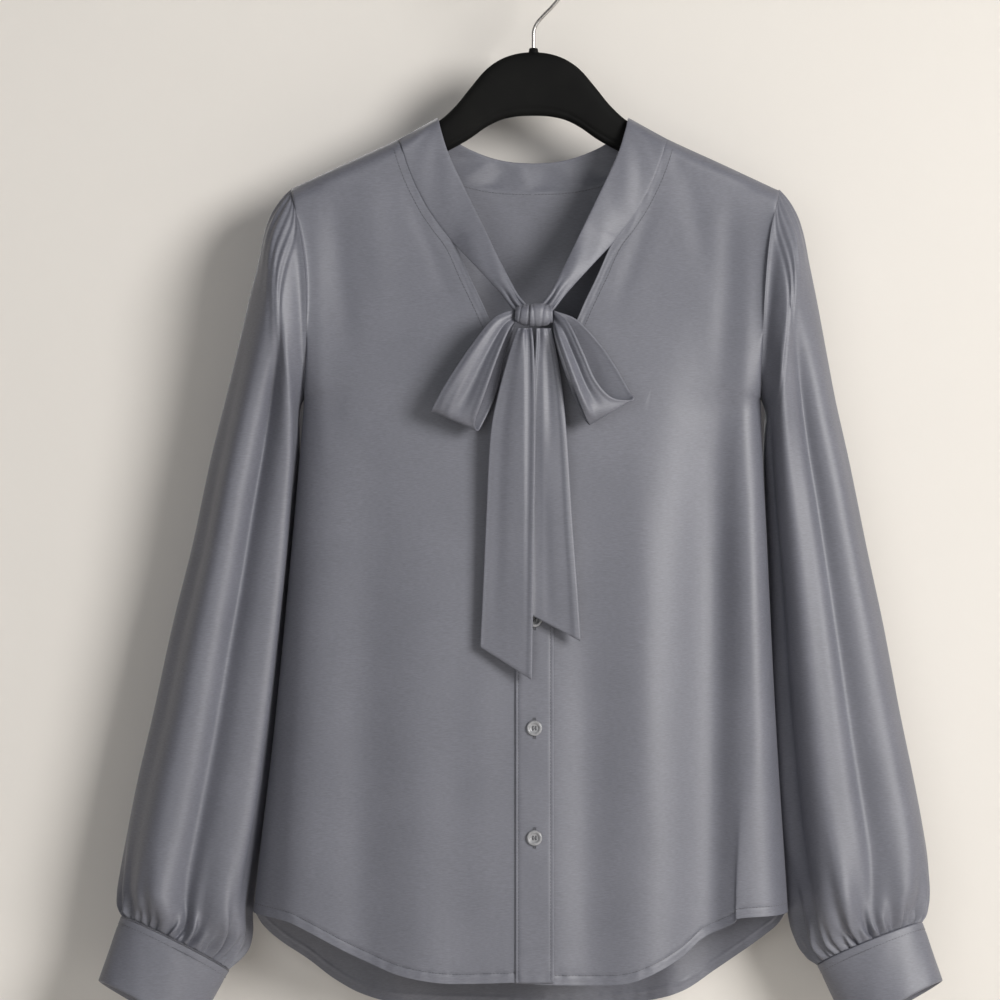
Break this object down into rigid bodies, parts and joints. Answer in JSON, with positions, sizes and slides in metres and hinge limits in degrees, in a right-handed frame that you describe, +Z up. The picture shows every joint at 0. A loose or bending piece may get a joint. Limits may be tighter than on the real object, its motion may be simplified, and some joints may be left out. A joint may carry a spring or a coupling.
{
  "type": "tie-neck blouse on a hanger",
  "caption": "Long-sleeved satin blouse with a tied bow at its V neck, a front button band and a curved hem, hanging on a broad moulded hanger with a wire hook.",
  "frame": {"origin": "underside of the top of the hook, where a rail bears", "axes": "+Z up, -Y out of the blouse's front, +X to the right of someone facing the front, which is the wearer's left"},
  "size_m": [0.6752, 0.1268, 0.8687],
  "materials": {
    "satin": "soft satin sheen",
    "hanger_plastic": "matte",
    "hook_steel": "polished wire",
    "button": "gloss"
  },
  "bodies": {
    "root": {"hanger_body": "hanger_plastic", "hanger_hook": "hook_steel", "front_right": "satin", "front_left": "satin", "back": "satin", "button_band": "satin", "sleeve_right": "satin", "sleeve_left": "satin", "cuff_right": "satin", "cuff_left": "satin", "neckband_back": "satin", "neckband_right": "satin", "neckband_left": "satin", "bow_knot": "satin", "bow_loop_right": "satin", "bow_loop_left": "satin", "bow_tail_right": "satin", "bow_tail_left": "satin", "button_1": "button", "button_2": "button", "button_3": "button", "button_4": "button", "button_5": "button", "cuff_button_right": "button", "cuff_button_left": "button"}
  },
  "joints": []
}
